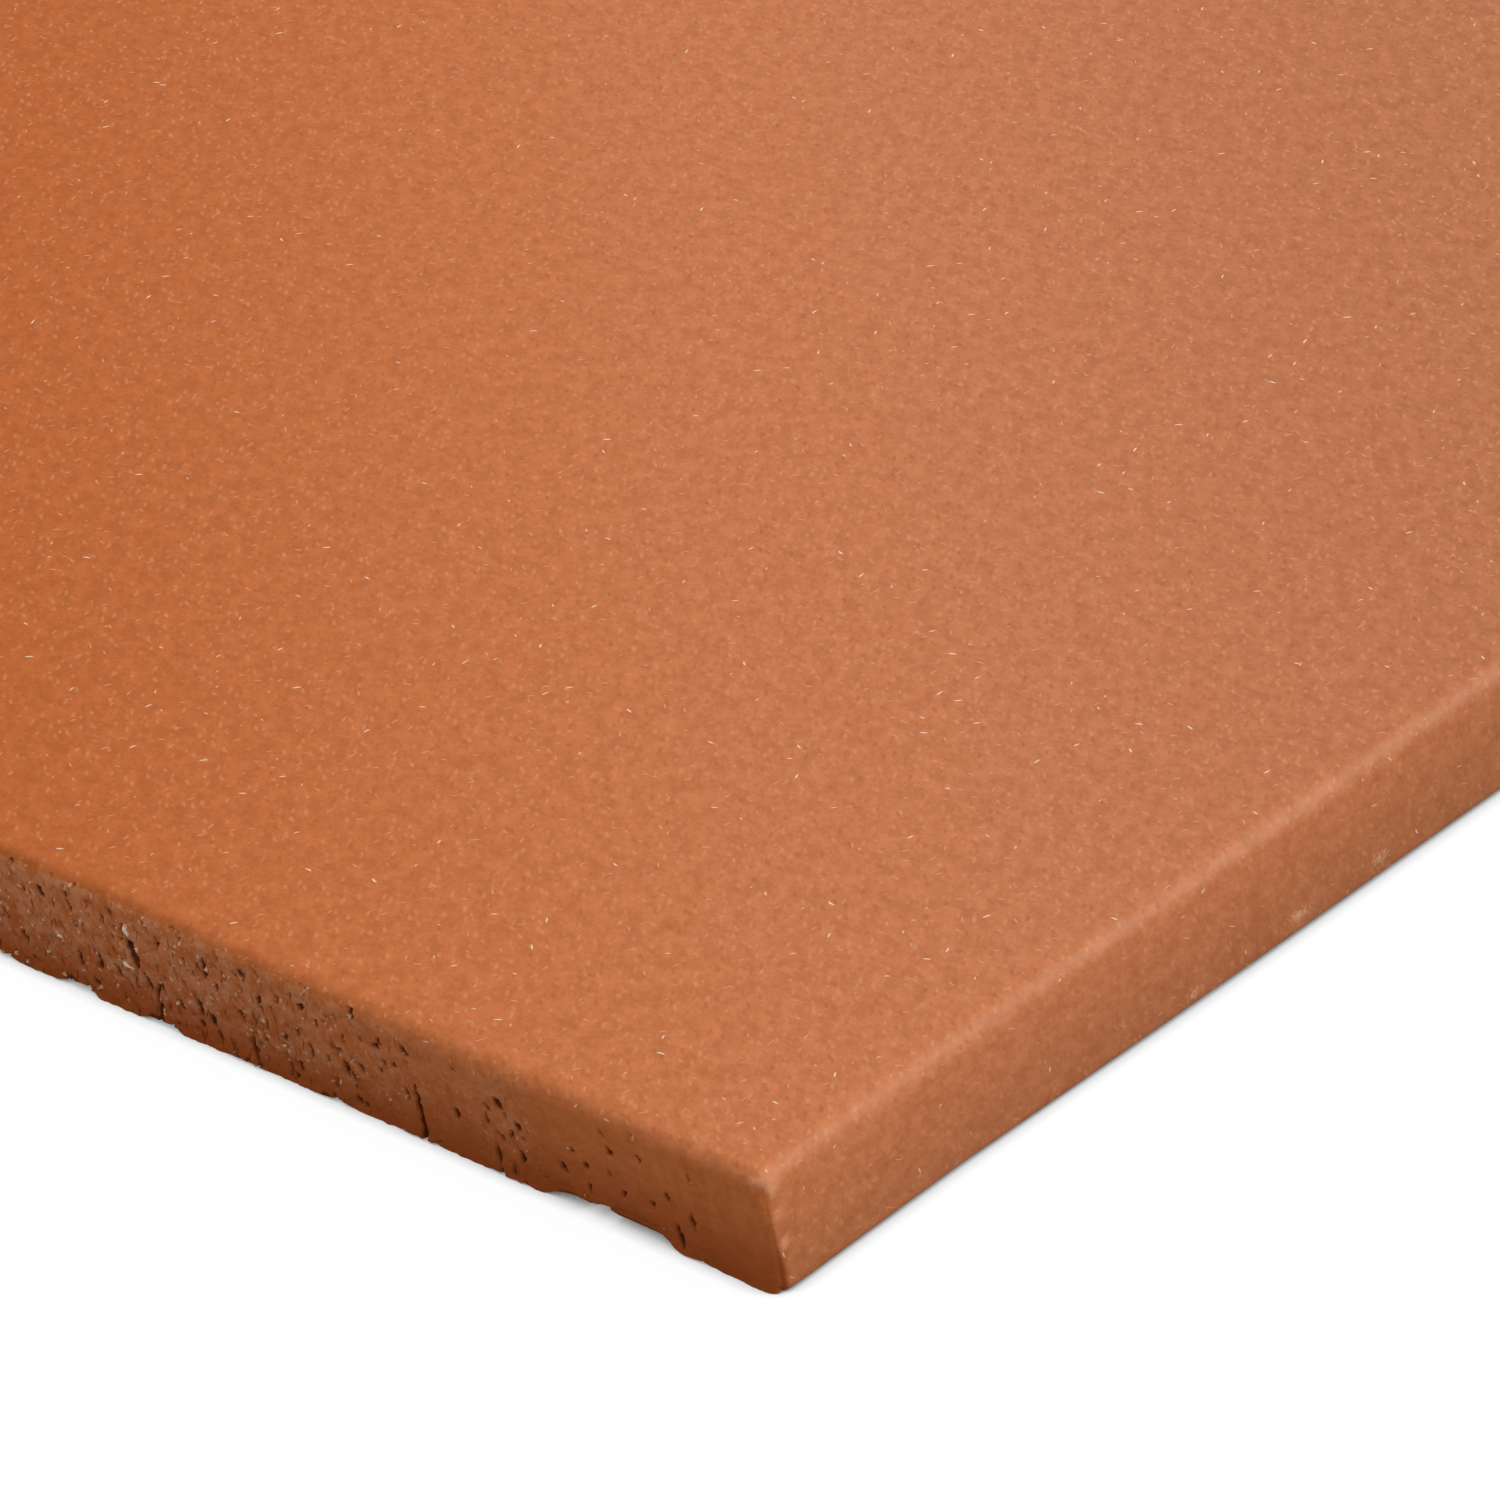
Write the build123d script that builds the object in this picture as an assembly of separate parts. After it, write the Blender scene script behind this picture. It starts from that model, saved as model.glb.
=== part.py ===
from build123d import *
import os

# Split floor tile, lying flat with its wear face up. All sizes are in millimetres.
# Clay is extruded as two plates joined back to back, cut to length with a wire, dried, fired
# and split apart. The die leaves rounded long edges and a grooved back that keys into the bed.
# X runs across the key grooves, from flank to flank. Y runs along them, from wire cut to wire cut.
# The origin is on the floor, under the middle of the tile.

# The plate
width = 240.0               # across the grooves, flank to flank
length = 240.0              # along the grooves, wire cut to wire cut
thickness = 12.0            # from the back to the wear face

# Its edges
flank_arris_radius = 1.9    # long edges of the wear face, rounded by the die
flank_foot_radius = 0.8     # long edges of the back, rounded by the die
cut_arris_radius = 0.5      # edges of the wire-cut ends, dulled as the wire leaves the clay

# The key grooves in the back
groove_pitch = 10.0         # from one groove to the next
groove_mouth = 3.0          # width of a groove at the back
groove_root = 3.6           # width of a groove at its bottom, wider than the mouth so that the bed keys in
groove_depth = 1.5          # from the back up to the bottom of a groove
groove_root_radius = 0.4    # inner corners of a groove
edge_land = 6.0             # least plain back between a flank and the first groove


def groove_centres():
    """Places of the grooves across the tile: one in the middle, and the rest a pitch apart out to the lands."""
    room_each_side = width / 2 - edge_land - max(groove_mouth, groove_root) / 2
    grooves_each_side = int(room_each_side // groove_pitch)
    return [step * groove_pitch for step in range(-grooves_each_side, grooves_each_side + 1)]


def groove_section():
    """One groove's section, with its mouth on the back and its middle at zero: a dovetail with rounded corners."""
    outline = Polyline(
        (-groove_mouth / 2, 0),
        (-groove_root / 2, groove_depth),
        (groove_root / 2, groove_depth),
        (groove_mouth / 2, 0),
        close=True,
    )
    groove = make_face(outline)
    root_corners = groove.vertices().group_by(Axis.Y)[-1]
    return fillet(root_corners, groove_root_radius)


def plate_section():
    """The section that the die gives the clay: a plate with rounded long edges and a grooved back."""
    section = Rectangle(width, thickness, align=(Align.CENTER, Align.MIN))
    section = fillet(section.vertices().group_by(Axis.Y)[-1], flank_arris_radius)
    section = fillet(section.vertices().group_by(Axis.Y)[0], flank_foot_radius)
    groove = groove_section()
    return section - [Pos(centre, 0) * groove for centre in groove_centres()]


def split_tile():
    """The extruded section, cut to length, with the edges of both cut ends dulled down to the back."""
    tile = extrude(Plane.XZ * plate_section(), amount=length / 2, both=True)
    cut_edges = [
        edge
        for cut_end in tile.faces().filter_by(Axis.Y)
        for edge in cut_end.edges()
        if edge.center().Z > max(groove_depth, flank_foot_radius)
    ]
    return fillet(cut_edges, cut_arris_radius)


os.makedirs("parts", exist_ok=True)
export_step(split_tile(), "parts/split_tile.step")
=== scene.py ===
import math

import bpy
import numpy as np
from mathutils import Matrix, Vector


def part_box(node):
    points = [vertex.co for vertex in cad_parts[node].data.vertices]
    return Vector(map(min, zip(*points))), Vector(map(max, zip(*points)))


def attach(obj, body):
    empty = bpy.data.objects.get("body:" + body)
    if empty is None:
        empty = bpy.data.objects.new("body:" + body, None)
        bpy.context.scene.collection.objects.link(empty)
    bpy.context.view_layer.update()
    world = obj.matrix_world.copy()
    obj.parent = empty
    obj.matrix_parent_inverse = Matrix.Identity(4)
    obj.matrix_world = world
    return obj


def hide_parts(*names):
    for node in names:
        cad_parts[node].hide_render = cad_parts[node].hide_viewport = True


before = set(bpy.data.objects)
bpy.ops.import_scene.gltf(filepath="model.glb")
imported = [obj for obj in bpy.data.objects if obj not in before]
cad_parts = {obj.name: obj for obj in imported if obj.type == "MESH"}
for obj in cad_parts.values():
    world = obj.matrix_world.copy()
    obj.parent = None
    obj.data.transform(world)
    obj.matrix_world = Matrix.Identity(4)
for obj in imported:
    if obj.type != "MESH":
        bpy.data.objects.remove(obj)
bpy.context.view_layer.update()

# The tile is one plate of unglazed red-brown clay. A die pressed it out as a double plate, with smooth flanks
# and a grooved back. A wire cut it to length and tore the clay at both ends. After firing it was split from its
# twin, so the feet of its ribs are broken clay. It lies loose on its ribs, with nothing fixed to it.
mm = 0.001
tile_low, tile_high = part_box("split_tile")
half_width = tile_high.x / mm
half_length = tile_high.y / mm
thickness = tile_high.z / mm
flank_arris = 1.9           # radius of the long edges of the wear face
flank_foot = 0.8            # radius of the long edges of the back
groove_pitch = 10.0
groove_mouth = 3.0
groove_root = 3.6
groove_depth = 1.5
grooves_each_side = 11

# The tile's shape starts as a sharp-edged section, and its edges are rounded and its clay torn afterwards.
# Every count of cells divides by eight, because the rings of points round the section thin out three times
# between a cut end, where the torn clay needs them, and the plain middle of the tile.
grooves = groove_pitch * np.arange(-grooves_each_side, grooves_each_side + 1)
rib_foot = np.column_stack([
    np.append(-half_width, grooves + groove_mouth / 2),
    np.append(grooves - groove_mouth / 2, half_width),
])
rib_waist = np.column_stack([
    np.append(-half_width, grooves + groove_root / 2),
    np.append(grooves - groove_root / 2, half_width),
])
fine_from = 25.0            # on this side of the tile the camera comes close to the cut end
root_cells = np.where(grooves > fine_from, 24, 8)
rib_cells = np.where(rib_foot[:, 1] > fine_from, 40, 16)
rib_cells[0] = 32
rib_cells[-1] = 48
wall_cells = 8
side_cells = 40


def run(start, end, cells):
    """Points in equal steps along a straight line, without its last point."""
    return np.linspace(start, end, cells, endpoint=False)


def section_ring():
    """The section's outline as one closed line of (x, z) points: along the back with its grooves, up one flank,
    over the wear face and down the other flank."""
    back = []
    crown = []
    for rib, cells in enumerate(rib_cells):
        foot_start, foot_end = rib_foot[rib]
        waist_start, waist_end = rib_waist[rib]
        back.append(run((foot_start, 0), (foot_end, 0), cells))
        crown.append(run((waist_end, thickness), (waist_start, thickness), cells))
        if rib < len(grooves):
            next_foot = rib_foot[rib + 1, 0]
            next_waist = rib_waist[rib + 1, 0]
            back.append(run((foot_end, 0), (waist_end, groove_depth), wall_cells))
            back.append(run((waist_end, groove_depth), (next_waist, groove_depth), root_cells[rib]))
            back.append(run((next_waist, groove_depth), (next_foot, 0), wall_cells))
            crown.append(run((next_waist, thickness), (waist_end, thickness), root_cells[rib]))
    right = [
        run((half_width, 0), (half_width, groove_depth), wall_cells),
        run((half_width, groove_depth), (half_width, thickness), side_cells),
    ]
    left = [
        run((-half_width, thickness), (-half_width, groove_depth), side_cells),
        run((-half_width, groove_depth), (-half_width, 0), wall_cells),
    ]
    return np.vstack(back + right + crown[::-1] + left)


def grid_faces(rows, columns, first):
    """Four-sided faces of a grid of points that are numbered row by row from first."""
    number = first + np.arange(rows * columns).reshape(rows, columns)
    face_corners = [number[:-1, :-1], number[:-1, 1:], number[1:, 1:], number[1:, :-1]]
    return np.stack(face_corners, axis=-1).reshape(-1, 4)


def cut_end(y, thin):
    """Grids of points that close the section at one end, with every thin-th row and column: one above the
    bottoms of the grooves, and one for the foot of each rib, whose columns lean out to the groove's mouth."""
    across = []
    for rib, cells in enumerate(rib_cells):
        across.append(run(*rib_waist[rib], cells))
        if rib < len(grooves):
            across.append(run(rib_waist[rib, 1], rib_waist[rib + 1, 0], root_cells[rib]))
    across = np.append(np.concatenate(across), half_width)
    up = np.linspace(groove_depth, thickness, side_cells + 1)
    grids = [np.stack(np.broadcast_arrays(across, y, up[:, None]), axis=-1)]
    share = np.linspace(0, 1, wall_cells + 1)[:, None]
    for foot, waist, cells in zip(rib_foot, rib_waist, rib_cells):
        leaning = (1 - share) * np.linspace(*foot, cells + 1) + share * np.linspace(*waist, cells + 1)
        grids.append(np.stack(np.broadcast_arrays(leaning, y, share * groove_depth), axis=-1))
    return [grid[::thin, ::thin] for grid in grids]


def strip_faces(dense, sparse):
    """Faces between a ring of points and the next ring, which has the same points or drops some single ones.
    Both give each point's number, or -1 where it is missing. A dropped point becomes the tip of three
    triangles."""
    there = dense >= 0
    dense, sparse = dense[there], sparse[there]
    after = np.roll(dense, -1)
    next_after = np.roll(sparse, -1)
    both = (sparse >= 0) & (next_after >= 0)
    quads = np.column_stack([dense, sparse, next_after, after])[both]
    before = np.roll(dense, 1)
    next_before = np.roll(sparse, 1)
    dropped = sparse < 0
    triangles = np.concatenate([
        np.column_stack([before, next_before, dense])[dropped],
        np.column_stack([dense, next_before, next_after])[dropped],
        np.column_stack([dense, next_after, after])[dropped],
    ])
    return quads, triangles


# Rings stand at these distances from each cut end, with how often the points have been thinned there.
near_stations = [(0, 0), (0.2, 0), (0.4, 0), (0.7, 0), (1.1, 0), (1.7, 1), (2.4, 1), (3.4, 2), (5.0, 2)]
far_stations = [(5.0, 2), (3.4, 2), (2.4, 1), (1.7, 1), (1.1, 1), (0.6, 1), (0.25, 1), (0, 1)]
middle_step = 12.0
middle = np.arange(middle_step, 2 * half_length - middle_step / 2, middle_step)
stations = (
    [(-half_length + inset, thinned) for inset, thinned in near_stations]
    + [(-half_length + inset, 3) for inset in middle]
    + [(half_length - inset, thinned) for inset, thinned in far_stations]
)


def raw_tile():
    """The sharp-edged tile as points, quads and triangles: rings of the section's points carried along the tile,
    and a cut end at each side, sewn together wherever two points share a place. A point of a ring outlives as
    many thinnings as its number in the ring can be halved evenly, up to three. By the long edges every second
    point outlives them all."""
    ring = section_ring()
    place = np.arange(len(ring))
    outlives = np.select([place % 8 == 0, place % 4 == 0, place % 2 == 0], [3, 2, 1], 0)
    by_flank = half_width - np.abs(ring[:, 0]) <= flank_arris
    by_face = np.minimum(ring[:, 1], thickness - ring[:, 1]) <= flank_arris
    outlives[by_flank & by_face & (place % 2 == 0)] = 3
    points, quads, triangles = [], [], []
    count = 0
    last = None
    for y, thinned in stations:
        kept = outlives >= thinned
        number = np.where(kept, count + np.cumsum(kept) - 1, -1)
        points.append(np.column_stack([ring[kept, 0], np.full(kept.sum(), y), ring[kept, 1]]))
        count += kept.sum()
        if last is not None:
            growing = kept.sum() > (last >= 0).sum()
            four, three = strip_faces(number, last) if growing else strip_faces(last, number)
            quads.append(four[:, ::-1] if growing else four)
            triangles.append(three[:, ::-1] if growing else three)
        last = number
    for y, thin in ((-half_length, 1), (half_length, 2)):
        for grid in cut_end(y, thin):
            faces = grid_faces(*grid.shape[:2], count)
            points.append(grid.reshape(-1, 3))
            quads.append(faces if y < 0 else faces[:, ::-1])
            count += grid.shape[0] * grid.shape[1]
    points = np.concatenate(points)
    whole, sewn = np.unique(np.round(points, 4), axis=0, return_inverse=True)
    sewn = sewn.ravel()
    return whole, sewn[np.concatenate(quads)], sewn[np.concatenate(triangles)]


def rounded_insets(a, b, radius):
    """New distances from two faces for points near the edge that the faces share. Seen along the edge, the
    square between the faces and the centre of the round is drawn in towards that centre, so its rings become
    arcs."""
    beside = np.maximum(radius - a, 0)
    below = np.maximum(radius - b, 0)
    drawn = np.maximum(beside, below) / np.maximum(np.hypot(beside, below), 1e-9)
    near = (beside > 0) & (below > 0)
    return np.where(near, radius - beside * drawn, a), np.where(near, radius - below * drawn, b)


def ease(value, start, end):
    """A soft step from 0 at start to 1 at end."""
    share = np.clip((value - start) / (end - start), 0, 1)
    return share * share * (3 - 2 * share)


def soft_noise(points, size, seed):
    """Smooth noise from -1 to 1: random numbers on a lattice with the given spacing along x, y and z, eased from
    one lattice point to the next. The lattice is long in x, as the cut ends are."""
    lattice = np.random.default_rng(seed).uniform(-1, 1, (1024, 16, 64))
    cell = points / np.array(size)
    low = np.floor(cell).astype(int)
    share = cell - low
    share = share * share * (3 - 2 * share)
    total = np.zeros(len(points))
    for corner in np.ndindex(2, 2, 2):
        weight = np.prod(np.where(corner, share, 1 - share), axis=1)
        at = (low + corner) % lattice.shape
        total += weight * lattice[at[:, 0], at[:, 1], at[:, 2]]
    return total


place, quads, triangles = raw_tile()
x, y, z = place.T
near_end = y < 0
from_cut = half_length - np.abs(y)
from_flank = half_width - np.abs(x)
from_crown = thickness - z
from_corner = half_width - x        # along the near cut, from the corner that the camera looks at

# Long edges, rounded by the die
to_flank, to_crown = rounded_insets(from_flank, from_crown, flank_arris)
to_flank, to_foot = rounded_insets(to_flank, thickness - to_crown, flank_foot)
rounded_up = np.where(z < thickness / 2, to_foot, thickness - to_crown)
shaped = np.column_stack([np.sign(x) * (half_width - to_flank), y, rounded_up])

# The flank that the camera sees bows in a little, some way from the near corner.
flank_bow = 0.4
along_flank = half_length + y
bow = flank_bow * ease(along_flank, 2, 22) * ease(along_flank, 60, 24)
shaped[:, 0] -= bow * ease(from_corner, 12, 2)

# Cut edges: dulled down the flanks, more so towards the foot, and rolled over on the wear face, most of all by
# the near corner. These are radii, which waver a little along the edge.
flank_dulled = 0.5
foot_dulled = 1.5
crown_rolled = 1.35
corner_rolled = 1.65
edge_waver = 0.15
by_corner = ease(from_corner, 65, 45) * near_end
rolled = crown_rolled + (corner_rolled - crown_rolled) * by_corner
dulled = flank_dulled + (foot_dulled - flank_dulled) * ease(z, 6, 1.5)
cut_radius = dulled + (rolled - dulled) * ease(z, 7, 11) + edge_waver * soft_noise(place, (4, 50, 4), 1)
inset = np.minimum(from_flank, from_crown)
new_inset, new_from_cut = rounded_insets(inset, from_cut, cut_radius)
outwards = np.column_stack([
    np.sign(x) * np.maximum(flank_arris - from_flank, 0),
    np.zeros(len(place)),
    np.maximum(flank_arris - from_crown, 0),
])
outwards /= np.maximum(np.linalg.norm(outwards, axis=1), 1e-9)[:, None]
shaped -= outwards * (new_inset - inset)[:, None]
shaped[:, 1] -= np.sign(y) * (new_from_cut - from_cut)

# The cut's colour starts far round the edges of the flanks, and below the roll of the wear face.
by_crown = ease(z, 9.5, 12)
down_cut = (inset - from_cut) / cut_radius
colour_fade = 0.8 + 0.5 * by_crown
cut_share = ease((down_cut + (1 - by_crown)) / colour_fade, 0, 1) * ease(from_cut, 1.6, 0.9)

# Pits that the wire pulled out of the near cut: distance from the near corner, height, half width, half height,
# depth and lean in degrees, with the lower end towards the corner
plain_pits = [
    (39.1, 3.4, 0.28, 2.9, 1.0, 0), (34.6, 4.7, 0.3, 0.6, 0.8, 20), (29.2, 7.9, 0.4, 0.6, 0.9, 25),
    (27.2, 6.2, 0.3, 0.5, 0.7, 15), (30.4, 2.8, 0.4, 0.7, 0.5, 0), (27.7, 3.2, 0.3, 0.5, 0.7, 10),
    (22.9, 4.0, 0.25, 0.45, 0.7, 20), (20.2, 5.2, 0.25, 0.35, 0.6, 0), (16.8, 7.9, 0.4, 0.5, 0.8, 10),
    (13.5, 8.6, 0.22, 0.3, 0.5, 0), (11.1, 5.6, 0.38, 0.42, 0.8, 0), (12.9, 4.2, 0.25, 0.4, 0.6, 0),
    (10.5, 2.6, 0.3, 0.9, 0.7, 10), (16.3, 3.9, 0.25, 0.3, 0.5, 0), (20.1, 3.2, 0.22, 0.4, 0.5, 15),
    (42.3, 9.0, 0.3, 0.5, 0.7, 20), (45.4, 5.1, 0.3, 0.6, 0.7, 20), (51.4, 9.1, 0.4, 0.5, 0.8, 20),
    (56.6, 6.9, 0.3, 0.7, 0.8, 20), (63.8, 8.4, 0.25, 0.5, 0.7, 15), (64.5, 4.0, 0.35, 0.9, 0.9, 15),
    (69.6, 3.0, 0.22, 1.8, 0.8, -8), (68.6, 9.0, 0.2, 0.9, 0.6, -8), (72.0, 6.7, 0.52, 1.3, 1.6, 12),
    (82.6, 9.3, 0.35, 0.6, 0.9, 20), (61.7, 7.0, 0.3, 0.5, 0.8, 20), (58.3, 9.8, 0.3, 0.4, 0.7, 20),
    (63.2, 3.0, 0.35, 0.7, 0.9, 10), (62.6, 1.9, 0.3, 0.7, 0.8, 5), (42.9, 8.4, 0.3, 0.4, 0.7, 20),
    (43.0, 5.9, 0.28, 0.4, 0.7, 20), (47.3, 4.0, 0.28, 0.5, 0.7, 20), (41.2, 7.1, 0.25, 0.4, 0.6, 20),
    (47.7, 6.1, 0.25, 0.4, 0.6, 20), (70.6, 4.2, 0.32, 0.6, 0.8, 20), (75.0, 9.1, 0.28, 0.5, 0.7, 20),
    (79.3, 10.0, 0.3, 0.45, 0.7, 20), (85.7, 3.4, 0.3, 0.6, 0.8, 20), (76.4, 4.0, 0.28, 0.7, 0.8, 15),
    (78.9, 3.7, 0.25, 0.8, 0.7, 10), (58.3, 3.0, 0.3, 0.6, 0.8, 20), (53.0, 2.4, 0.32, 0.6, 0.8, 20),
    (46.5, 1.4, 0.3, 0.5, 0.7, 10), (30.6, 7.0, 0.18, 0.5, 0.4, 30), (28.3, 5.2, 0.22, 0.5, 0.5, -20),
    (29.6, 4.4, 0.2, 0.6, 0.5, 35), (28.9, 6.8, 0.17, 0.4, 0.4, 10), (30.9, 5.6, 0.16, 0.7, 0.4, 0),
    (27.0, 5.0, 0.18, 0.3, 0.4, 40), (29.0, 2.2, 0.18, 0.4, 0.4, 0),
]


def scattered_pits(count, sparse_to, dense_from, seed):
    """Small pits strewn over a cut end: oval, leaning about 20 degrees, rare up to one distance from the corner
    and at their full density past another."""
    rare = 0.06
    draw = np.random.default_rng(seed)
    along = draw.uniform(3, 2 * half_width - 3, count)
    height = draw.uniform(0.5, thickness - 0.4, count)
    half_wide = 0.13 + 0.13 * draw.random(count) ** 2
    half_tall = half_wide * draw.uniform(1.2, 3.6, count)
    deep = half_wide * draw.uniform(1.5, 3.0, count)
    lean = draw.normal(20, 15, count)
    kept = draw.random(count) < rare + (1 - rare) * ease(along, sparse_to, dense_from)
    return np.column_stack([along, height, half_wide, half_tall, deep, lean])[kept]


def bowls(along, up, pits):
    """Depth of the deepest pit at each point of a cut end. A pit is a leaning oval bowl: its full depth times one
    less the squared distance from its middle, in half sizes of the oval, to the power 0.7."""
    depth = np.zeros(len(along))
    for middle, height, half_wide, half_tall, deep, lean in pits:
        near = np.flatnonzero(np.abs(along - middle) < half_wide + half_tall)
        aside = along[near] - middle
        above = up[near] - height
        cosine, sine = math.cos(math.radians(lean)), math.sin(math.radians(lean))
        wide = (aside * cosine - above * sine) / half_wide
        tall = (aside * sine + above * cosine) / half_tall
        depth[near] = np.maximum(depth[near], deep * np.maximum(1 - wide**2 - tall**2, 0) ** 0.7)
    return depth


def crumbs_beside(pits, seed):
    """Pale crumbs of clay that hang on at the rims of about half of the pits: small ovals beside or below the
    pit, as rows like those of the pits, with their full strength of 1 in place of a depth."""
    draw = np.random.default_rng(seed)
    kept = pits[draw.random(len(pits)) < 0.5]
    along, height, half_wide, half_tall = kept[:, :4].T
    side = draw.choice([-1, 1], len(kept))
    down = draw.uniform(-1.1, 0.6, len(kept)) * half_tall
    size = draw.uniform(0.14, 0.3, len(kept))
    return np.column_stack([
        along + side * (half_wide + 0.1) * draw.uniform(0.4, 1.1, len(kept)), height + down,
        size * 0.75, size, np.ones(len(kept)), draw.uniform(-60, 60, len(kept)),
    ])


# The face of a cut leans in towards its foot, because the wire lagged, and its upper edge bows in away from the
# near corner. It is torn: drag marks down the face, and crumbly tears away from the near corner and in one patch
# closer to it. The far cut is torn all along.
patch_middle = 29.0
patch_torn = 0.55
far_torn = 0.8
torn_patch = patch_torn * ease(np.abs(from_corner - patch_middle), 5, 1)
torn = np.where(near_end, np.maximum(ease(from_corner, 22, 60), torn_patch), far_torn)
past_corner = ease(from_corner, 38, 80)
upper_bow = np.where(near_end, 0.5 * past_corner, 0.3)
foot_lean = np.where(near_end, 1.5 - 0.3 * past_corner - 0.45 * ease(from_corner, 5, 1), 1.2)
face_inset = 0.08           # keeps the face clear of the solid's end
tear = face_inset + upper_bow + (foot_lean - upper_bow) * (1 - z / thickness)
tear += 0.04 * soft_noise(place, (25, 60, 25), 2)
tear += 0.045 * soft_noise(place, (0.7, 60, 9), 3) + 0.03 * soft_noise(place, (0.35, 60, 5), 4)
tear += torn * (0.07 * soft_noise(place, (0.9, 60, 0.9), 5) + 0.05 * soft_noise(place, (0.45, 60, 0.45), 6))
corner_bend = 0.75          # how far the wire bent the cut in at the near corner's flank
corner_reach = 4.0
tear += corner_bend * (1 - (z / thickness) ** 3) * np.clip(1 - from_corner / corner_reach, 0, 1) ** 2 * near_end
torn_reach = 5.0            # depth over which the clay behind the face gives way

# Pits with crumbs at their rims. Their outlines waver, because each point looks them up a little off its place.
# Four crumbs are larger than the rest, three of them round the deep hole.
coarse_waver = (0.6, 60, 0.6)
fine_waver = (0.3, 60, 0.35)
wander = 0.18 * np.column_stack([soft_noise(place, coarse_waver, 7), soft_noise(place, coarse_waver, 8)])
wander += 0.12 * np.column_stack([soft_noise(place, fine_waver, 19), soft_noise(place, fine_waver, 20)])
near_cut = near_end & (from_cut < torn_reach)
far_cut = ~near_end & (from_cut < torn_reach)
large_crumbs = [
    (72.1, 9.1, 0.38, 0.6, 1.8, 20), (72.7, 5.3, 0.34, 0.7, 1.8, 70), (71.2, 7.3, 0.22, 0.4, 1.5, 20),
    (81.1, 5.2, 0.2, 0.8, 1.6, 70),
]
near_pits = np.vstack([plain_pits, scattered_pits(count=950, sparse_to=36, dense_from=58, seed=9)])
far_pits = scattered_pits(count=700, sparse_to=-2, dense_from=-1, seed=10)
near_crumbs = np.vstack([large_crumbs, crumbs_beside(near_pits[len(plain_pits):], seed=15)])
far_crumbs = crumbs_beside(far_pits, seed=16)
pit = np.zeros(len(place))
crumb = np.zeros(len(place))
for end, pits, crumbs in ((near_cut, near_pits, near_crumbs), (far_cut, far_pits, far_crumbs)):
    along = from_corner[end] + wander[end, 0]
    up = z[end] + wander[end, 1]
    pit[end] = bowls(along, up, pits)
    crumb[end] = bowls(along, up, crumbs)
crumb_rise = 0.12
least_tear = 0.02
tear = np.maximum(tear + pit - crumb_rise * crumb, least_tear)
shaped[:, 1] -= np.sign(y) * tear * np.clip(1 - from_cut / torn_reach, 0, 1)
crumb *= ease(from_cut, 1.2, 0.4)   # there are none behind the face, along the walls of the grooves

# The open groove ends at the foot of the near cut get painted shade: rows like those of the pits, of which only
# the colour shows
groove_end_shade = [
    (80.5, 1.5, 0.9, 0.45, 0.6, 0), (70.5, 1.5, 1.0, 0.45, 0.6, 0), (61.0, 1.5, 0.5, 0.4, 0.5, 0),
    (59.6, 1.5, 0.5, 0.4, 0.5, 0), (50.6, 1.5, 0.8, 0.35, 0.5, 0),
]
pit[near_cut] = np.maximum(pit[near_cut], bowls(from_corner[near_cut], z[near_cut], groove_end_shade))

# The wire drags a burr of clay down over the ends of the grooves, so that only a low gap of most is left open.
# By the near corner it broke off, with the foot of a rib.
from_groove = np.abs(np.subtract.outer(x, grooves)).min(1)
burr_reach = 2.2            # how far the burr goes in along the groove
burr_root = 2.5             # how far up the cut face the clay is drawn down
broken_off = ease(from_corner, 10.5, 13.5) * ease(from_corner, 26.5, 23) * near_end
open_ends = ease(from_corner, 58, 68) * ease(from_corner, 92, 84) * near_end
burr = np.where(near_end, 1.35 - 0.35 * ease(from_corner, 84, 92), 1.0) - 0.6 * open_ends - 0.9 * broken_off
burr += 0.25 * soft_noise(place, (3.5, 60, 60), 17) + 0.12 * soft_noise(place, (1, 60, 60), 18)
burr *= ease(from_cut, burr_reach, 0.3 * burr_reach) * ease(from_groove, 2.8, 1.5)
drawn_down = np.where(z < groove_depth, z / groove_depth, np.clip(1 - (z - groove_depth) / burr_root, 0, 1))
shaped[:, 2] -= burr * drawn_down

# Feet of the ribs: ragged and rounded where the wire left them, one of them broken off short by the near corner,
# and split clay along the rest
foot_reach = 2.6            # how far up the clay gives way
broken_height = 1.3
broken_reach = 1.6          # how far in along the rib its foot is missing
split_roughness = 0.12
rounded_foot = (0.15 + 0.25 * open_ends) * ease(from_groove, 2.9, 1.5)
raggedness = -0.15 + 0.3 * soft_noise(place, (3, 60, 3), 11) + 0.18 * soft_noise(place, (1.1, 60, 3), 12)
lift = (np.maximum(raggedness, 0) + rounded_foot) * ease(from_cut, 4, 0)
lift = np.maximum(lift, broken_height * broken_off * np.clip(1 - from_cut / broken_reach, 0, 1))
split = np.maximum(split_roughness * soft_noise(place, (2.5, 14, 3), 13), 0)
lift = np.maximum(lift, split) * ease(z, foot_reach, 0)
shaped[:, 2] += lift * (z < foot_reach)

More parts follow.
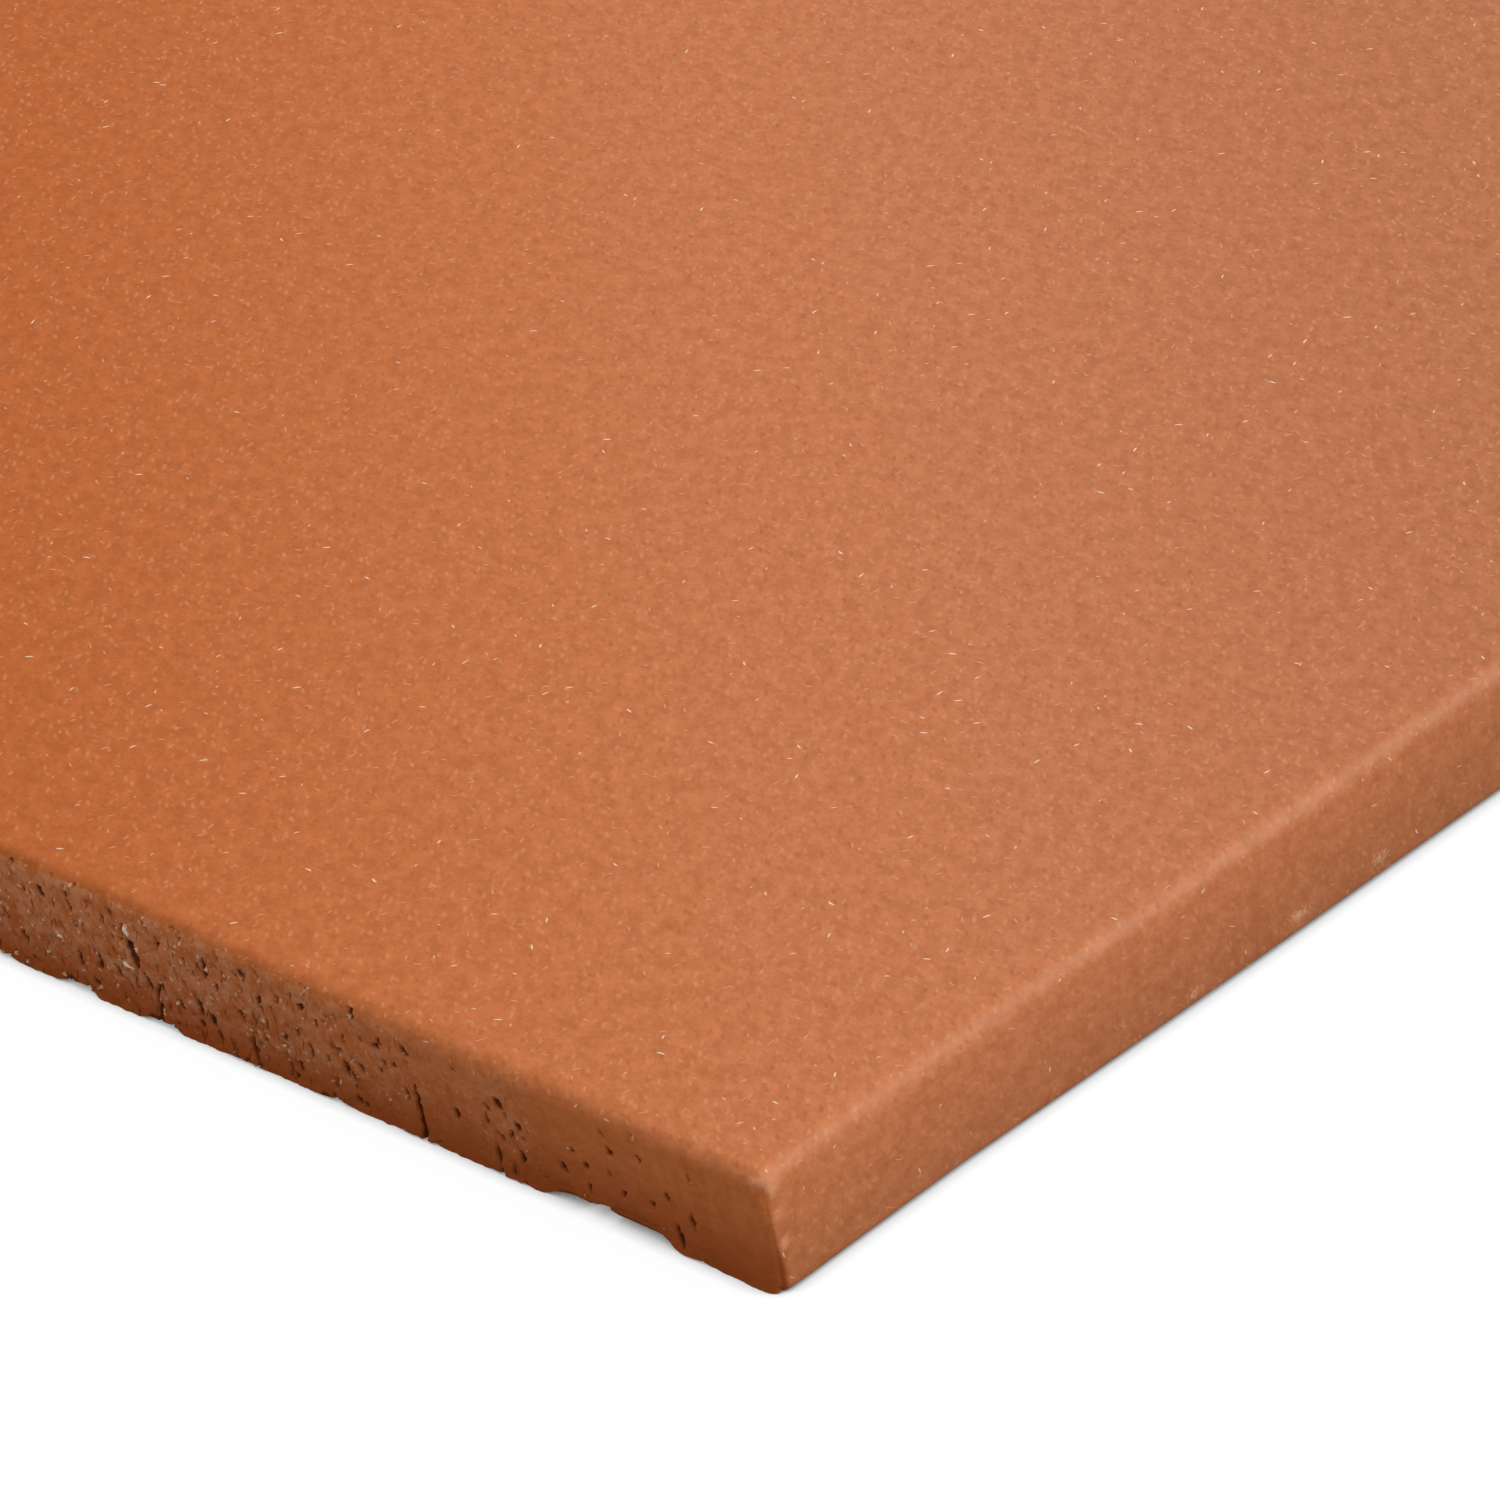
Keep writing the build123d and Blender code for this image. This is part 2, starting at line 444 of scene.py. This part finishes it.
# Chips off the edges: small ones along the cuts' upper edges, larger ones along the feet. Each is a ball that
# pushes the clay out to its surface.
crown_chips = 90
foot_chips = 60
chips = []
draw = np.random.default_rng(14)
for side in (-1, 1):
    for chip_x in draw.uniform(-half_width + 2, half_width - 2, crown_chips):
        radius = draw.uniform(0.6, 1.0)
        out = (radius - draw.uniform(0.45, 0.6)) / math.sqrt(2)
        chips.append((np.array([chip_x, side * (half_length + out), thickness + out]), radius))
    for chip_x in draw.uniform(-half_width + 6, half_width - 6, foot_chips):
        radius = draw.uniform(0.6, 1.5)
        out = (radius - draw.uniform(0.3, 0.6)) / math.sqrt(2)
        chips.append((np.array([chip_x, side * (half_length + out), -out]), radius))
before_chips = shaped.copy()
for centre, radius in chips:
    near = np.flatnonzero(np.abs(shaped[:, 0] - centre[0]) < radius)
    away = shaped[near] - centre
    distance = np.linalg.norm(away, axis=1)
    inside = distance < radius
    shaped[near[inside]] = centre + away[inside] * (radius / distance[inside])[:, None]
chip = np.linalg.norm(shaped - before_chips, axis=1)
shaped[:, 2] = np.maximum(shaped[:, 2], 0)

# A painted highlight lies pale along the middle of the round of the wear face's long arrises.
beside = np.maximum(flank_arris - from_flank, 0)
below = np.maximum(flank_arris - from_crown, 0)
arris_highlight = np.sin(2 * np.arctan2(beside, below)) ** 4

# The near corner is knocked pale in three places: distance along the flank, height, half size and strength
knocked = np.zeros(len(place))
for along, height, half_size, strength in ((1.5, 10.3, 1.1, 1), (1.9, 7.8, 0.9, 0.6), (2.4, 4.9, 0.9, 0.9)):
    away = np.hypot(shaped[:, 1] + half_length - along, shaped[:, 2] - height)
    knocked = np.maximum(knocked, strength * ease(away, half_size, 0.2 * half_size) * (from_corner < 2.5))
knocked *= ease(from_cut, 0.3, 1.1)

mesh = bpy.data.meshes.new("split_tile_clay")
tile = bpy.data.objects.new("split_tile_clay", mesh)
bpy.context.scene.collection.objects.link(tile)
corners = np.concatenate([quads.ravel(), triangles.ravel()])
starts = np.concatenate([4 * np.arange(len(quads)), 4 * len(quads) + 3 * np.arange(len(triangles))])
mesh.vertices.add(len(shaped))
mesh.vertices.foreach_set("co", (shaped * mm).ravel())
mesh.loops.add(len(corners))
mesh.loops.foreach_set("vertex_index", corners)
mesh.polygons.add(len(starts))
mesh.polygons.foreach_set("loop_start", starts)
mesh.update(calc_edges=True)
mesh.shade_smooth()
mesh.set_sharp_from_angle(angle=math.radians(50))
for name, values in (("cut", cut_share), ("torn", torn), ("pit", pit), ("crumb", crumb), ("chip", chip),
                     ("arris_highlight", arris_highlight), ("knocked", knocked)):
    attribute = mesh.attributes.new(name, "FLOAT", "POINT")
    attribute.data.foreach_set("value", values.astype(np.float32))

# The clay's material, worked out in millimetres
clay = bpy.data.materials.new("fired_clay")
clay.use_nodes = True
clay_nodes = clay.node_tree.nodes
surface = clay_nodes["Principled BSDF"]


def feed(socket, value):
    """Sets a socket to a plain value, or joins it to the output that gives the value."""
    if isinstance(value, bpy.types.NodeSocket):
        clay.node_tree.links.new(value, socket)
    else:
        socket.default_value = value


def worked(operation, *values):
    """One step of arithmetic on numbers."""
    node = clay_nodes.new("ShaderNodeMath")
    node.operation = operation
    for socket, value in zip(node.inputs, values):
        feed(socket, value)
    return node.outputs["Value"]


def worked_vector(operation, *values):
    """One step of arithmetic on vectors."""
    node = clay_nodes.new("ShaderNodeVectorMath")
    node.operation = operation
    for socket, value in zip(node.inputs, values):
        feed(socket, value)
    return node.outputs["Vector"]


def length(vector):
    """How long a vector is."""
    node = clay_nodes.new("ShaderNodeVectorMath")
    node.operation = "LENGTH"
    feed(node.inputs[0], vector)
    return node.outputs["Value"]


def parts(vector):
    """The three numbers of a vector or a colour."""
    node = clay_nodes.new("ShaderNodeSeparateXYZ")
    feed(node.inputs["Vector"], vector)
    return node.outputs["X"], node.outputs["Y"], node.outputs["Z"]


def joined(across, up):
    """A flat vector of two numbers."""
    node = clay_nodes.new("ShaderNodeCombineXYZ")
    feed(node.inputs["X"], across)
    feed(node.inputs["Y"], up)
    return node.outputs["Vector"]


def soft_step(value, start, end):
    """A soft step from 0 at start to 1 at end."""
    node = clay_nodes.new("ShaderNodeMapRange")
    node.interpolation_type = "SMOOTHSTEP"
    feed(node.inputs["Value"], value)
    node.inputs["From Min"].default_value = start
    node.inputs["From Max"].default_value = end
    return node.outputs["Result"]


def cloudy(at, size, detail, roughness):
    """Noise from about 0 to 1 with lumps of the given size, and finer lumps on them."""
    node = clay_nodes.new("ShaderNodeTexNoise")
    feed(node.inputs["Vector"], at)
    node.inputs["Scale"].default_value = 1 / size
    node.inputs["Detail"].default_value = detail
    node.inputs["Roughness"].default_value = roughness
    return node.outputs["Fac"]


def ramp(value, stops, blend="LINEAR"):
    """Colour that runs from stop to stop as the value grows, in straight lines or in a smooth curve."""
    node = clay_nodes.new("ShaderNodeValToRGB")
    node.color_ramp.interpolation = blend
    feed(node.inputs["Fac"], value)
    while len(node.color_ramp.elements) < len(stops):
        node.color_ramp.elements.new(0.5)
    for element, (position, colour) in zip(node.color_ramp.elements, stops):
        element.position = position
        element.color = (*colour, 1)
    return node.outputs["Color"]


def mixed(share, first, second):
    """The first colour, with a share of the second one over it."""
    node = clay_nodes.new("ShaderNodeMix")
    node.data_type = "RGBA"
    feed(node.inputs[0], share)
    feed(node.inputs[6], first)
    feed(node.inputs[7], second)
    return node.outputs[2]


def tinted(first, second):
    """Two colours multiplied."""
    node = clay_nodes.new("ShaderNodeMix")
    node.data_type = "RGBA"
    node.blend_type = "MULTIPLY"
    node.inputs[0].default_value = 1
    feed(node.inputs[6], first)
    feed(node.inputs[7], second)
    return node.outputs[2]


def turned(vector, angle):
    """A vector turned about the z axis."""
    node = clay_nodes.new("ShaderNodeVectorRotate")
    node.rotation_type = "Z_AXIS"
    feed(node.inputs["Vector"], vector)
    feed(node.inputs["Angle"], angle)
    return node.outputs["Vector"]


def flecks(at, cell, half_long, half_wide, share, lean=None):
    """Strength of thin bent flecks, from 0 to 1, with one at most in each cell of a scattered cell pattern, and
    the cell's own random number, which the share is set against. A fleck lies at its cell's random angle, or near
    the lean. It is full up to a squared distance of 0.3 from its middle, in half sizes, and gone at 1.3, after a
    bend that grows with the square of the distance along it. Shorter flecks are fainter."""
    lean_spread = 0.7
    cells = clay_nodes.new("ShaderNodeTexVoronoi")
    cells.voronoi_dimensions = "2D"
    feed(cells.inputs["Vector"], at)
    cells.inputs["Scale"].default_value = 1 / cell
    turn, chance, size = parts(cells.outputs["Color"])
    if lean is None:
        angle = worked("MULTIPLY", turn, math.tau)
    else:
        angle = worked("ADD", worked("MULTIPLY", turn, lean_spread), lean)
    along, over, _ = parts(turned(worked_vector("SUBTRACT", at, cells.outputs["Position"]), angle))
    along = worked("DIVIDE", along, worked("MULTIPLY_ADD", size, half_long, 0.5 * half_long))
    bend = worked("MULTIPLY", worked("MULTIPLY", along, along), worked("MULTIPLY_ADD", turn, 1.6, -0.8))
    over = worked("ADD", worked("DIVIDE", over, half_wide), bend)
    reach = worked("ADD", worked("MULTIPLY", along, along), worked("MULTIPLY", over, over))
    strength = worked("MULTIPLY", soft_step(reach, 1.3, 0.3), worked("MULTIPLY_ADD", size, 0.7, 0.3))
    return worked("MULTIPLY", strength, worked("LESS_THAN", chance, share)), chance


def carried(name):
    """A number that the mesh carries at its points."""
    node = clay_nodes.new("ShaderNodeAttribute")
    node.attribute_name = name
    return node.outputs["Fac"]


in_mm = worked_vector("MULTIPLY", clay_nodes.new("ShaderNodeTexCoord").outputs["Object"], (1000, 1000, 1000))
across, along, up = parts(in_mm)
on_skin = joined(
    worked("SUBTRACT", across, worked("MULTIPLY", worked("SIGN", across), up)),
    worked("SUBTRACT", along, worked("MULTIPLY", worked("SIGN", along), up)),
)
on_cut = joined(across, up)

# Fire skin: orange on the left of the wear face, with painted light and a painted sheen that make it brighter in
# the middle and pinker to the right, and painted shade that darkens it down the flanks, towards the floor. Fine
# sand mottles it, and grains and cream flecks are pressed into it; the dark grains are partly painted shade of
# the sand's relief. The skin's own pattern runs on round the edges.
fire_orange = (0.549, 0.146, 0.0365)
lit_skin = (0.611, 0.193, 0.069)
sheen_skin = (0.600, 0.207, 0.088)
dim_sheen_skin = (0.529, 0.186, 0.081)
sand_deep = (0.85, 0.80, 0.72)
sand_plain = (0.925, 0.90, 0.855)
grain_pale = (0.72, 0.32, 0.16)
dark_grain_and_shade = (0.40, 0.095, 0.022)
fleck_cream = (0.90, 0.72, 0.56)
knock_pale = (0.80, 0.37, 0.19)
sheen_reach = 300.0          # over this distance, along the diagonal, the painted light and sheen change
# Painted light and sheen across the wear face: brighter in the middle, pinker to the right
sheen_side = worked("MULTIPLY_ADD", worked("ADD", across, along), 1 / sheen_reach, 0.5)
painted_sheen_colours = [(0.2, fire_orange), (0.45, lit_skin), (0.62, sheen_skin), (0.82, dim_sheen_skin)]
skin = ramp(sheen_side, painted_sheen_colours, "CARDINAL")
sand_lie = math.radians(-45)
drawn_sand = worked_vector("MULTIPLY", turned(in_mm, sand_lie), (1, 0.6, 1))
sand = cloudy(drawn_sand, size=1.5, detail=4, roughness=0.75)
skin = tinted(skin, ramp(sand, [(0.4, sand_deep), (0.5, sand_plain), (0.6, (1, 1, 1))]))
# Painted shade: the skin darkens down the flanks, towards the floor.
painted_low_shade = (0.78, 0.78, 0.78)
skin = tinted(skin, ramp(worked("DIVIDE", up, thickness), [(0.05, painted_low_shade), (0.75, (1, 1, 1))]))
flank_near = (0.95, 0.98, 1.02)
flank_middle = (1.0, 0.975, 0.95)
flank_far = (1.05, 1.0, 0.95)
off_crown = soft_step(up, thickness - 0.3, thickness - 2)
along_share = worked("MULTIPLY_ADD", along, 0.5 / half_length, 0.5)
flank_tint = ramp(along_share, [(0.02, flank_near), (0.25, flank_middle), (0.5, flank_far)], "CARDINAL")
skin = tinted(skin, mixed(off_crown, (1, 1, 1, 1), flank_tint))
grain_lean = math.radians(25)
pale_grains = 0.5           # share of the cells with a pale grain, before the dark ones
# The dark grains are dark spots in the clay and partly painted shade of the sand's relief.
grains, kind = flecks(on_skin, cell=1.2, half_long=0.4, half_wide=0.19, share=0.85, lean=grain_lean)
grain = mixed(worked("GREATER_THAN", kind, pale_grains), (*grain_pale, 1), (*dark_grain_and_shade, 1))
skin = mixed(worked("MULTIPLY", grains, worked("MULTIPLY_ADD", off_crown, -0.15, 0.38)), skin, grain)
cream_hairs = 0.075         # share of the cells with a cream hair, before the plainer ones
hairs, kind = flecks(on_skin, cell=1.9, half_long=0.28, half_wide=0.088, share=0.53)
hair = mixed(worked("LESS_THAN", kind, cream_hairs), (*grain_pale, 1), (*fleck_cream, 1))
skin = mixed(worked("MULTIPLY", hairs, worked("MULTIPLY_ADD", off_crown, -0.45, 0.95)), skin, hair)
arris_highlight_strength = 0.085
knock_strength = 0.6
# Painted highlight along the long arrises of the wear face
skin = mixed(worked("MULTIPLY", carried("arris_highlight"), arris_highlight_strength), skin, (*fleck_cream, 1))
skin = mixed(worked("MULTIPLY", carried("knocked"), knock_strength), skin, (*knock_pale, 1))

# Cut clay: browner, streaked down the face where the wire dragged it, with pale crumbs where it tore, painted
# shade in its dark slits and pits, and painted shade that darkens it towards its foot
cut_deep = (0.46, 0.122, 0.033)
cut_plain = (0.55, 0.160, 0.048)
cut_pale = (0.61, 0.192, 0.066)
cut_low_shade = (0.36, 0.080, 0.018)
dust = (0.66, 0.34, 0.20)
pit_shade = (0.10, 0.022, 0.005)
crumb_pale = (0.87, 0.56, 0.36)
crumb_glint = (0.95, 0.77, 0.60)
dragged = worked_vector("MULTIPLY", in_mm, (1, 1, 0.15))
streaks = cloudy(dragged, size=0.8, detail=2, roughness=0.7)
body = worked("ADD", worked("MULTIPLY", streaks, 0.35), worked("MULTIPLY", sand, 0.65))
cut_clay = ramp(body, [(0.3, cut_deep), (0.5, cut_plain), (0.7, cut_pale)])
low_shade_strength = 0.9
dust_strength = 0.36
slit_strength = 0.8
pit_strength = 0.85
# Painted shade: the cut darkens towards its foot.
cut_clay = mixed(worked("MULTIPLY", soft_step(up, 8.5, 0.5), low_shade_strength), cut_clay, (*cut_low_shade, 1))
tearing = carried("torn")
torn_pale = worked("MULTIPLY", tearing, soft_step(up, 0.5, 5))
dusty = worked("MULTIPLY", torn_pale, soft_step(sand, 0.4, 0.62))
cut_clay = mixed(worked("MULTIPLY", dusty, dust_strength), cut_clay, (*dust, 1))
slit_lean = math.radians(75)
# The dark slits are painted shade of fine tears.
slits, _ = flecks(on_cut, cell=1.2, half_long=0.5, half_wide=0.09, share=0.4, lean=slit_lean)
cut_clay = mixed(worked("MULTIPLY", worked("MULTIPLY", slits, tearing), slit_strength), cut_clay, (*pit_shade, 1))
crumbs, _ = flecks(on_cut, cell=0.8, half_long=0.17, half_wide=0.11, share=0.26)
crumbs = worked("MULTIPLY", crumbs, worked("MULTIPLY_ADD", torn_pale, 0.75, 0.05))
cut_clay = mixed(crumbs, cut_clay, (*crumb_pale, 1))
# Painted shade in the pits
pitted = soft_step(carried("pit"), 0.06, 0.36)
cut_clay = mixed(worked("MULTIPLY", pitted, pit_strength), cut_clay, (*pit_shade, 1))

# The cut starts with a ragged line at the edge. Chips and crumbs show paler clay, and so do three bits of grit
# low on the near flank: distance from the near corner, height, half length and half height.
ragged_share = 0.7
chip_strength = 0.55
crumb_strength = 0.85
grit_strength = 0.4
tatters = worked("SUBTRACT", cloudy(in_mm, size=0.7, detail=2, roughness=0.6), 0.5)
ragged = worked("MULTIPLY_ADD", tatters, ragged_share, carried("cut"))
colour = mixed(soft_step(ragged, 0.15, 0.85), skin, cut_clay)
crumble = cloudy(in_mm, size=0.32, detail=1, roughness=0.5)
crumbly = soft_step(crumble, 0.36, 0.62)
broken = worked("MULTIPLY", soft_step(carried("chip"), 0.02, 0.2), crumbly)
colour = mixed(worked("MULTIPLY", broken, chip_strength), colour, (*crumb_pale, 1))
crumb = carried("crumb")
large = soft_step(crumb, 0.7, 1.3)
gritty = worked("MULTIPLY", soft_step(crumb, 0.1, 0.6), worked("MAXIMUM", crumbly, large))
colour = mixed(worked("MULTIPLY", gritty, crumb_strength), colour, (*crumb_pale, 1))
# The cores of the large crumbs are pale clay with a painted glint.
colour = mixed(large, colour, (*crumb_glint, 1))
grit_spots = [(52.6, 1.5, 0.9, 0.6), (66.3, 2.0, 1.7, 0.8), (77.0, 2.0, 1.4, 0.8)]
nearest_grit = 9.0          # in half sizes: to start with, every place is far from all of them
for grit_along, grit_up, half_long, half_tall in grit_spots:
    from_grit = worked_vector("SUBTRACT", in_mm, (half_width, grit_along - half_length, grit_up))
    in_half_sizes = worked_vector("MULTIPLY", from_grit, (0.5, 1 / half_long, 1 / half_tall))
    nearest_grit = worked("MINIMUM", nearest_grit, length(in_half_sizes))
grit = soft_step(worked("MULTIPLY_ADD", crumble, 3, nearest_grit), 2.6, 1.2)
colour = mixed(worked("MULTIPLY", grit, grit_strength), colour, (*crumb_pale, 1))

# The feet of the ribs, which face down, are rough where the twin broke away, and mottled along the ribs.
_, _, facing = parts(clay_nodes.new("ShaderNodeNewGeometry").outputs["Normal"])
split_foot = worked("MULTIPLY", soft_step(facing, -0.6, -0.9), soft_step(up, 0.7, 0.35))
split_strength = 0.85
mottle = cloudy(worked_vector("MULTIPLY", in_mm, (1, 0.35, 1)), size=1.2, detail=4, roughness=0.75)
split_clay = ramp(mottle, [(0.36, cut_deep), (0.5, cut_plain), (0.66, dust)])
colour = mixed(worked("MULTIPLY", split_foot, split_strength), colour, split_clay)
feed(surface.inputs["Base Color"], colour)

# Relief finer than the mesh, in millimetres: sand in the clay, coarser on the split feet. The cut is dull, and
# the skin has a slight sheen.
lumps = cloudy(in_mm, size=1.5, detail=2, roughness=0.6)
relief = worked("MULTIPLY", lumps, worked("MULTIPLY_ADD", split_foot, 0.5, 0.2))
bump = clay_nodes.new("ShaderNodeBump")
bump.inputs["Distance"].default_value = mm
feed(bump.inputs["Height"], relief)
feed(surface.inputs["Normal"], bump.outputs["Normal"])
feed(surface.inputs["Roughness"], worked("MULTIPLY_ADD", sand, 0.2, 0.45))
feed(surface.inputs["Specular IOR Level"], worked("MULTIPLY_ADD", carried("cut"), -0.05, 0.05))
mesh.materials.append(clay)
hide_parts("split_tile")
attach(tile, "root")

# The floor is a plain white sheet. What the camera sees of it shines white and greys where the tile stands on
# it, and it throws back only a little light at the tile. It lies a hair below the tile's feet.
floor_half = 3.0
floor_top = -0.02 * mm
contact_reach = 2.6 * mm    # how far the shade under the tile's edges spreads
floor_corners = [(-1, -1), (1, -1), (1, 1), (-1, 1)]
floor_mesh = bpy.data.meshes.new("floor")
floor_mesh.from_pydata(
    [(side_x * floor_half, side_y * floor_half, floor_top) for side_x, side_y in floor_corners],
    [], [(0, 1, 2, 3)],
)
floor = bpy.data.objects.new("floor", floor_mesh)
bpy.context.scene.collection.objects.link(floor)
paper = bpy.data.materials.new("white_floor")
paper.use_nodes = True
paper_nodes = paper.node_tree.nodes
paper_nodes.clear()
thrown = paper_nodes.new("ShaderNodeBsdfDiffuse")
thrown.inputs["Color"].default_value = (0.30, 0.30, 0.30, 1)
shaded = paper_nodes.new("ShaderNodeBsdfDiffuse")
shaded.inputs["Color"].default_value = (0.06, 0.06, 0.06, 1)
contact = paper_nodes.new("ShaderNodeAmbientOcclusion")
contact.samples = 6
contact.inputs["Distance"].default_value = contact_reach
shade = paper_nodes.new("ShaderNodeValToRGB")
shade.color_ramp.elements.new(0.35)
for stop, (position, grey) in zip(shade.color_ramp.elements, ((0.1, 0.06), (0.35, 0.5), (0.62, 1.0))):
    stop.position = position
    stop.color = (grey, grey, grey, 1)
glow = paper_nodes.new("ShaderNodeEmission")
glow.inputs["Strength"].default_value = 0.965
seen = paper_nodes.new("ShaderNodeAddShader")
ray = paper_nodes.new("ShaderNodeLightPath")
camera_or_glossy = paper_nodes.new("ShaderNodeMath")
camera_or_glossy.operation = "MAXIMUM"
looked_at = paper_nodes.new("ShaderNodeMath")
looked_at.operation = "MAXIMUM"
either = paper_nodes.new("ShaderNodeMixShader")
paper_out = paper_nodes.new("ShaderNodeOutputMaterial")
for output, socket in (
    (contact.outputs["AO"], shade.inputs["Fac"]),
    (shade.outputs["Color"], glow.inputs["Color"]),
    (shaded.outputs["BSDF"], seen.inputs[0]),
    (glow.outputs["Emission"], seen.inputs[1]),
    (ray.outputs["Is Camera Ray"], camera_or_glossy.inputs[0]),
    (ray.outputs["Is Glossy Ray"], camera_or_glossy.inputs[1]),
    (camera_or_glossy.outputs["Value"], looked_at.inputs[0]),
    (ray.outputs["Is Transmission Ray"], looked_at.inputs[1]),
    (looked_at.outputs["Value"], either.inputs["Fac"]),
    (thrown.outputs["BSDF"], either.inputs[1]),
    (seen.outputs["Shader"], either.inputs[2]),
    (either.outputs["Shader"], paper_out.inputs["Surface"]),
):
    paper.node_tree.links.new(output, socket)
floor_mesh.materials.append(paper)

# Studio light: an even white room, one soft lamp from the right, and one low behind the tile that grazes its
# face. What the camera sees of the room is plain white.
world = bpy.data.worlds.new("studio")
world.use_nodes = True
world_nodes = world.node_tree.nodes
room = world_nodes["Background"]
room.inputs["Color"].default_value = (1, 1, 1, 1)
room.inputs["Strength"].default_value = 0.70
backdrop = world_nodes.new("ShaderNodeBackground")
backdrop.inputs["Color"].default_value = (1, 1, 1, 1)
backdrop.inputs["Strength"].default_value = 1
ray = world_nodes.new("ShaderNodeLightPath")
camera_or_glossy = world_nodes.new("ShaderNodeMath")
camera_or_glossy.operation = "MAXIMUM"
looked_at = world_nodes.new("ShaderNodeMath")
looked_at.operation = "MAXIMUM"
either = world_nodes.new("ShaderNodeMixShader")
for output, socket in (
    (ray.outputs["Is Camera Ray"], camera_or_glossy.inputs[0]),
    (ray.outputs["Is Glossy Ray"], camera_or_glossy.inputs[1]),
    (camera_or_glossy.outputs["Value"], looked_at.inputs[0]),
    (ray.outputs["Is Transmission Ray"], looked_at.inputs[1]),
    (looked_at.outputs["Value"], either.inputs["Fac"]),
    (room.outputs["Background"], either.inputs[1]),
    (backdrop.outputs["Background"], either.inputs[2]),
    (either.outputs["Shader"], world_nodes["World Output"].inputs["Surface"]),
):
    world.node_tree.links.new(output, socket)
bpy.context.scene.world = world
bpy.context.scene.view_settings.view_transform = "Standard"
for name, place_of, size, power in (
    ("right_lamp", (1.28, 0.77, 0.82), 0.8, 14.0),
    ("back_lamp", (-0.2, 0.75, 0.35), 0.4, 0.9),
):
    soft_lamp = bpy.data.lights.new(name, "AREA")
    soft_lamp.energy = power
    soft_lamp.size = size
    lamp = bpy.data.objects.new(name, soft_lamp)
    lamp.location = place_of
    lamp.rotation_euler = (-lamp.location).to_track_quat("-Z", "Y").to_euler()
    lamp.visible_camera = False
    bpy.context.scene.collection.objects.link(lamp)

# The camera stands off the near corner, turned a little, with a long lens. Its place follows from where the
# foot of the corner shows in the picture, and how far off that is.
photo_width = 1500
camera_turn = math.radians(45.23)
camera_tilt = math.radians(30.77)
camera_roll = math.radians(-5.86)
focal_pixels = 8613
corner_pixel = (778.3, 1302.2)
corner_depth = 678.3 * mm
corner_set_back = 1.04 * mm  # the foot of the near corner stands this far behind the cut's upper edge
right = np.array([math.cos(camera_turn), math.sin(camera_turn), 0])
back = np.array([
    math.sin(camera_turn) * math.cos(camera_tilt),
    -math.cos(camera_turn) * math.cos(camera_tilt),
    math.sin(camera_tilt),
])
up = np.cross(back, right)
rolled_right = math.cos(camera_roll) * right + math.sin(camera_roll) * up
rolled_up = math.cos(camera_roll) * up - math.sin(camera_roll) * right
corner = np.array([tile_high.x, tile_low.y + corner_set_back, tile_low.z])
sideways = (corner_pixel[0] - photo_width / 2) / focal_pixels * corner_depth
upwards = (photo_width / 2 - corner_pixel[1]) / focal_pixels * corner_depth
stand = corner - sideways * rolled_right - upwards * rolled_up + corner_depth * back
camera_data = bpy.data.cameras.new("camera")
camera_data.sensor_width = 36
camera_data.lens = focal_pixels / photo_width * camera_data.sensor_width
camera_data.clip_end = 20
camera = bpy.data.objects.new("camera", camera_data)
pose = np.eye(4)
pose[:3, :3] = np.column_stack([rolled_right, rolled_up, back])
pose[:3, 3] = stand
camera.matrix_world = Matrix(pose.tolist())
bpy.context.scene.collection.objects.link(camera)
bpy.context.scene.camera = camera
